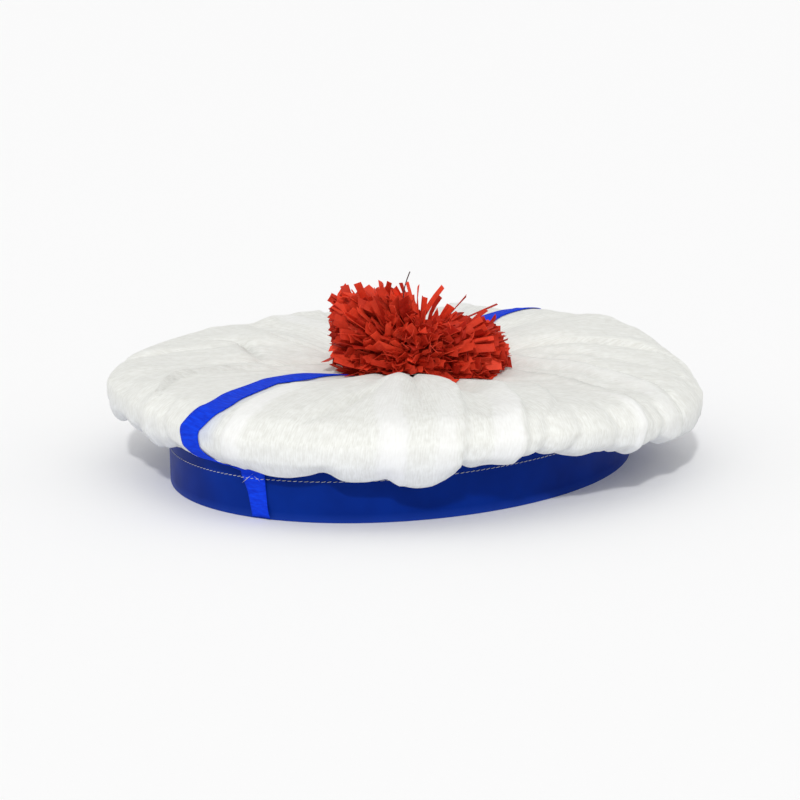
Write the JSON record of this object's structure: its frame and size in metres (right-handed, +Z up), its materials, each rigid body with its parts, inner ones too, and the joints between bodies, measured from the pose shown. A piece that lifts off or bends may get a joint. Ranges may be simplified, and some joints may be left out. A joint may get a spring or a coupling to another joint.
{
  "type": "sailor cap",
  "caption": "Flat round sailor cap: oval card headband, puffed cloth crown gathered to the middle, a ribbon over it and a fringed tissue pompom on top.",
  "frame": {"origin": "middle of the cap's footprint, on the surface that the headband stands on", "axes": "+Z up, out of the top of the cap; +Y to the back along the band's long way, the front at -Y; +X to the wearer's left"},
  "size_m": [0.2306, 0.228, 0.068],
  "materials": {
    "coated_card": "smooth satin plastic-coated card, royal blue",
    "nonwoven_cloth": "thin white nonwoven cloth, matte, slightly see-through",
    "crepe_ribbon": "matte crepe, bright blue",
    "tissue_fringe": "matte tissue strips, red"
  },
  "bodies": {
    "root": {"band": "coated_card", "crown": "nonwoven_cloth", "ribbon": "crepe_ribbon", "pompom": "tissue_fringe"}
  },
  "joints": []
}
